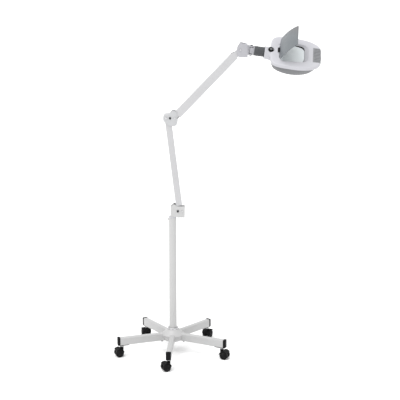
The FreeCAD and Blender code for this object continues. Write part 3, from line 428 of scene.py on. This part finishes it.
# ================================================================ rolling base
CASTERS = 5
WHEEL_R_MM, WHEEL_IN_MM, WHEEL_OUT_MM = 21.0, 5.6, 22.5
AXLE_R_MM, AXLE_HALF_MM = 3.0, 18.0
BUTTONS, BUTTON_RING_MM = 6, 10.4    # the small round marks on each wheel's face
BUTTON = [(0.0, -0.4), (1.5, -0.4), (1.5, 0.05), (1.1, 0.1), (0.0, 0.1)]


def wheel_profile():
    """Half of a twin-wheel caster as (radius, distance from the caster's middle)."""
    inner, outer, rim = WHEEL_IN_MM, WHEEL_OUT_MM, WHEEL_R_MM
    inner_face = [(3.4, inner + 0.4), (8.0, inner + 0.4), (8.8, inner + 1.6), (16.0, inner + 1.6),
                  (16.8, inner), (rim - 1.6, inner)]
    tread = [(rim, inner + 2.2), (rim, outer - 3.8), (rim - 1.3, outer - 1.2), (rim - 3.8, outer)]
    outer_face = [(16.6, outer), (16.0, outer - 1.2), (13.9, outer - 1.2), (13.3, outer - 0.2),
                  (7.6, outer - 0.2), (6.9, outer - 1.3), (5.6, outer - 1.3), (4.9, outer)]
    bore = [(0.0, outer), (0.0, outer - 4.4), (3.4, outer - 4.4)]
    return inner_face + tread + outer_face + bore


def build_wheels(number):
    """One caster's pair of wheels, with their face marks and axle."""
    roll = "caster_%d_roll" % number
    bm = bmesh.new()
    for side in (1, -1):
        matrix = matrix_along(joint_point(roll), joint_axis(roll) * side)
        profile = rounded(wheel_profile(), 0.5, 2)
        part = lathe(bmesh.new(), profile, matrix, 72)
        merge(bm, part)
        for step in range(BUTTONS):
            turn = 2 * math.pi * (step + 0.5) / BUTTONS
            at = Vector((BUTTON_RING_MM * math.cos(turn), BUTTON_RING_MM * math.sin(turn),
                         WHEEL_OUT_MM - 0.1))
            merge(bm, lathe(bmesh.new(), BUTTON, matrix @ Matrix.Translation(at), 16))
    axle = rounded([(0.0, -AXLE_HALF_MM), (AXLE_R_MM, -AXLE_HALF_MM), (AXLE_R_MM, AXLE_HALF_MM),
                    (0.0, AXLE_HALF_MM)], 0.3)
    merge(bm, lathe(bmesh.new(), axle, matrix_along(joint_point(roll), joint_axis(roll)), 32))
    obj = add_object("wheels_%d_tread" % number, bm, "wheel_black")
    settle(obj, "wheels_%d" % number, "wheel_black", "caster_wheels_%d" % number)


def build_base():
    for number in range(1, CASTERS + 1):
        refined("leg_%d" % number, 0.6)
        refined("caster_hood_%d" % number, 0.5)
        build_wheels(number)
    refined("hub", 0.7)
    refined("leg_end_plugs", 0.6)
    refined("caster_stems", 0.5)
    refined("hub_bolts", 0.4)


# ================================================================ column and arms
def build_column():
    refined("foot_collar", 0.5)
    refined("column_tube", 0.4)
    refined("column_cap", 0.5)
    refined("column_set_screw", 0.3)
    refined("swivel_post", 0.4)
    refined("base_bracket", 0.6)
    refined("cord_gland", 0.4)
    refined("arm_bumper", 0.6)
    refined("base_tension_screw", 0.35)
    refined("base_pivot_pin", 0.35)


def build_arms():
    for node in ("lower_bar", "lower_link", "upper_bar", "upper_link", "end_link"):
        refined(node, 0.5)
    refined("elbow_bracket", 0.6, slot_name="elbow_white")
    for node in ("elbow_tension_screw", "elbow_pivot_pins"):
        refined(node, 0.35)
    for node in ("lower_spring", "upper_spring"):
        refined(node, 0.1, 1, 60.0)


# ================================================================ neck
COLLAR_START_MM, COLLAR_END_MM, COLLAR_R_MM = -33.2, 4.6, 24.6
COLLAR_BORE_MM, COLLAR_RIBS, GROOVE_MM = 8.2, 6, 1.7


def build_collar():
    """The ribbed drum the head rolls with, and the ring behind it."""
    start, end, out = COLLAR_START_MM, COLLAR_END_MM, COLLAR_R_MM
    pitch = (end - start - 4.0) / COLLAR_RIBS
    profile = [(COLLAR_BORE_MM, start), (out - 1.0, start), (out, start + 1.0)]
    for rib in range(COLLAR_RIBS):
        at = start + 2.0 + rib * pitch
        profile += [(out, at + 0.6), (out, at + pitch - 2.6), (out - GROOVE_MM, at + pitch - 2.2),
                    (out - GROOVE_MM, at + pitch - 0.4)]
    profile += [(out, end - 1.6), (out - 0.9, end), (COLLAR_BORE_MM, end)]
    along_neck = NECK @ Matrix.Rotation(math.radians(90), 4, "Y")
    drum = lathe(bmesh.new(), rounded(profile, 0.5, 2), along_neck, 96)
    settle(add_object("collar_drum", drum, "collar_grey"), "head", "collar_grey", "ribbed_collar")
    refined("collar_ring", 0.5)


def build_neck():
    build_collar()
    for node in ("tilt_bracket", "neck_spindle"):
        refined(node, 0.7, slot_name="tilt_white")
    for node in ("tilt_screw", "swivel_pin", "swivel_washers", "spindle_nut"):
        refined(node, 0.3)


# ================================================================ head
# Start and end along the neck, width at each, and corner radius.
LENS_SEAT_MM = (80.0, 202.0, 150.0, 114.0, 30.0)
LENS_WINDOW_MM = (76.0, 222.0, 166.0, 120.0, 34.0)
GASKET_LOW_MM, GASKET_HIGH_MM, GASKET_THICK_MM = 10.0, 22.6, 0.8
SEAT_GAP_MM, FUNNEL_GAP_MM = 0.9, 1.1
# The lip's height as a share of the funnel's, near and far, and where across the head it rises; the far rise is a
# dark strip of painted shade on the funnel's far wall.
LIP_NEAR, SHADE_STRIP_RISE, RISE_FROM_MM, RISE_OVER_MM = 0.05, 0.30, 34.0, 22.0
KNOB_R_MM, KNOB_HEIGHT_MM, KNOB_FLOAT_MM = 13.2, 10.0, 0.6
KNOB_SHAFT_R_MM, KNOB_SHAFT_FOOT_MM = 3.0, -9.0
FLUTE_DEPTH_MM, FLUTES = 0.22, 24
POINTER_SIZE_MM, POINTER_AT_MM = (4.6, 1.0, 0.5), 8.3
INLAY_R_MM = 6.2


def window_points(window, height, grow=0.0, per_corner=10):
    """Points round the lens window, in the row's frame, at this height above the neck's line."""
    start, end, wide, narrow, corner = window
    corners = [(start - grow, -wide / 2 - grow), (end + grow, -narrow / 2 - grow),
               (end + grow, narrow / 2 + grow), (start - grow, wide / 2 + grow)]
    radius = corner + grow
    points = []
    for index in range(4):
        here = Vector(corners[index])
        before = (Vector(corners[index - 1]) - here).normalized()
        after = (Vector(corners[(index + 1) % 4]) - here).normalized()
        half = before.angle(after) / 2
        centre = here + (before + after).normalized() * radius / math.sin(half)
        first = (here + before * radius / math.tan(half)) - centre
        last = (here + after * radius / math.tan(half)) - centre
        swing = first.angle_signed(last)
        for step in range(per_corner + 1):
            arm = first.copy()
            arm.rotate(Matrix.Rotation(-swing * step / per_corner, 2))
            points.append(HEAD @ Vector((centre.x + arm.x, centre.y + arm.y, height)))
    return points


def build_gasket_and_shade_strip():
    """The rubber round the lens: a low lip, rising on the far side of the funnel to a dark strip of painted shade
    where the funnel wall is shaded.
    """
    low_n, high_n, thick = GASKET_LOW_MM, GASKET_HIGH_MM, GASKET_THICK_MM
    outer_low = window_points(LENS_SEAT_MM, low_n, -SEAT_GAP_MM)
    outer_high = window_points(LENS_WINDOW_MM, high_n, -FUNNEL_GAP_MM)
    inner_low = window_points(LENS_SEAT_MM, low_n, -SEAT_GAP_MM - thick)
    inner_high = window_points(LENS_WINDOW_MM, high_n, -FUNNEL_GAP_MM - thick)
    middle = HEAD @ Vector((0, 0, 0))
    bm = bmesh.new()
    rings = []
    for index in range(len(outer_low)):
        across = (outer_low[index] - middle).dot(HEAD_V) / MM
        # painted shade: the black rubber rises on the far side to darken the funnel wall where its shade falls
        rise = LIP_NEAR + SHADE_STRIP_RISE * min(1.0, max(0.0, (across - RISE_FROM_MM) / RISE_OVER_MM))
        outer_top = outer_low[index].lerp(outer_high[index], rise)
        inner_top = inner_low[index].lerp(inner_high[index], rise)
        crest = (outer_top + inner_top) / 2 + HEAD_N * thick * 0.4 * MM
        ring = (outer_low[index], outer_top, crest, inner_top, inner_low[index])
        rings.append([bm.verts.new(point) for point in ring])
    for index, ring in enumerate(rings):
        after = rings[(index + 1) % len(rings)]
        for step in range(len(ring)):
            follow = (step + 1) % len(ring)
            bm.faces.new((ring[step], after[step], after[follow], ring[follow]))
    settle(add_object("lens_gasket_shade_strip", bm, "rubber"), "head", "plastic_black")


def build_knob():
    """The dimmer knob: a fluted grip with a dished top, its shaft, a pale pointer and a grey inlay."""
    matrix = matrix_along(joint_point("dimmer_turn"), joint_axis("dimmer_turn"), HEAD_U)
    out, low, high = KNOB_R_MM, KNOB_FLOAT_MM, KNOB_FLOAT_MM + KNOB_HEIGHT_MM
    profile = [(0.0, low), (out - 0.6, low), (out - 0.2, low + 1.0), (out - 0.5, high - 2.2),
               (out - 2.4, high), (out - 4.4, high), (out - 6.0, high - 1.3), (0.0, high - 1.6)]
    bm = lathe(bmesh.new(), rounded(profile, 0.9, 3), matrix, 120, FLUTE_DEPTH_MM, FLUTES)
    shaft = rounded([(0.0, KNOB_SHAFT_FOOT_MM), (KNOB_SHAFT_R_MM, KNOB_SHAFT_FOOT_MM),
                     (KNOB_SHAFT_R_MM, low + 0.2), (0.0, low + 0.2)], 0.2)
    merge(bm, lathe(bmesh.new(), shaft, matrix, 32))
    settle(add_object("knob_grip", bm, "plastic_black"), "knob", "plastic_black", "dimmer_knob")
    bm = bmesh.new()
    bar = bmesh.ops.create_cube(bm, size=1.0)["verts"]
    bmesh.ops.scale(bm, verts=bar, vec=POINTER_SIZE_MM)
    bmesh.ops.translate(bm, verts=bar, vec=(POINTER_AT_MM, 0, high - 0.05))
    bmesh.ops.bevel(bm, geom=bm.edges[:], offset=0.18, segments=2, affect="EDGES")
    bm.transform(matrix)
    settle(add_object("knob_pointer", bm, "plastic_white"), "knob", "plastic_white")
    inlay = [(0.0, high - 1.8), (INLAY_R_MM, high - 1.8), (INLAY_R_MM, high - 1.0),
             (INLAY_R_MM - 0.6, high - 0.7), (0.0, high - 0.4)]
    bm = lathe(bmesh.new(), rounded(inlay, 0.4), matrix, 64)
    settle(add_object("knob_inlay", bm, "knob_grey"), "knob", "plastic_black")


def build_head():
    refined("head_cover", 0.6, 2, 40.0)
    refined("lower_shell", 0.8, 2, 40.0)
    refined("end_grille", 0.4, slot_name="grille_grey")
    for node in ("lens_frame", "diffuser", "led_board", "neck_bush", "lid", "lid_hinge"):
        refined(node, 0.4)
    refined("lid_hinge_pin", 0.25)
    refined("knob_bezel", 0.3)
    refined("lens", 0.8, 3)
    build_gasket_and_shade_strip()
    build_knob()


# ================================================================ studio
FLOOR_SIZE, FLOOR_SQUARES = 60.0, 8
SKY_STRENGTH = 1.0
KEY_STRENGTH, KEY_SPREAD = 1.8, 50.0
KEY_FROM = Vector((-0.9, -1.0, 2.9))
CAMERA_PLACE = (0.138, -8.0, 2.98)
CAMERA_PITCH = 15.2
CAMERA_LENS, CAMERA_SENSOR = 148.8, 36.0


def build_studio():
    """A pale floor, an even white sky and one broad soft sun."""
    bm = bmesh.new()
    bmesh.ops.create_grid(bm, x_segments=FLOOR_SQUARES, y_segments=FLOOR_SQUARES, size=FLOOR_SIZE / 2)
    mesh = bpy.data.meshes.new("floor")
    bm.to_mesh(mesh)
    bm.free()
    floor = bpy.data.objects.new("floor", mesh)
    bpy.context.scene.collection.objects.link(floor)
    s = Shader("floor_white")
    cloud = s.ranged(s.noise(0.8), 0.3, 0.7, 0.0, 1.0)
    s.feed("Base Color", s.mix(cloud, (0.975, 0.975, 0.975), (0.99, 0.99, 0.99)))
    s.set(Roughness=0.9, Specular_IOR_Level=0.2)
    mesh.materials.append(s.material)

    world = bpy.data.worlds.new("studio")
    bpy.context.scene.world = world
    world.use_nodes = True
    sky = world.node_tree.nodes["Background"]
    sky.inputs["Color"].default_value = (1.0, 1.0, 1.0, 1.0)
    sky.inputs["Strength"].default_value = SKY_STRENGTH
    data = bpy.data.lights.new("key", "SUN")
    data.energy = KEY_STRENGTH
    data.angle = math.radians(KEY_SPREAD)
    key = bpy.data.objects.new("key", data)
    key.rotation_euler = (-KEY_FROM).to_track_quat("-Z", "Y").to_euler()
    bpy.context.scene.collection.objects.link(key)


def build_camera():
    data = bpy.data.cameras.new("camera")
    data.lens = CAMERA_LENS
    data.sensor_width = CAMERA_SENSOR
    camera = bpy.data.objects.new("camera", data)
    camera.location = CAMERA_PLACE
    camera.rotation_euler = (math.radians(90 - CAMERA_PITCH), 0, 0)
    bpy.context.scene.collection.objects.link(camera)
    bpy.context.scene.camera = camera


build_base()
build_column()
build_arms()
build_neck()
build_head()
build_studio()
build_camera()
bpy.context.scene.view_settings.view_transform = "Standard"
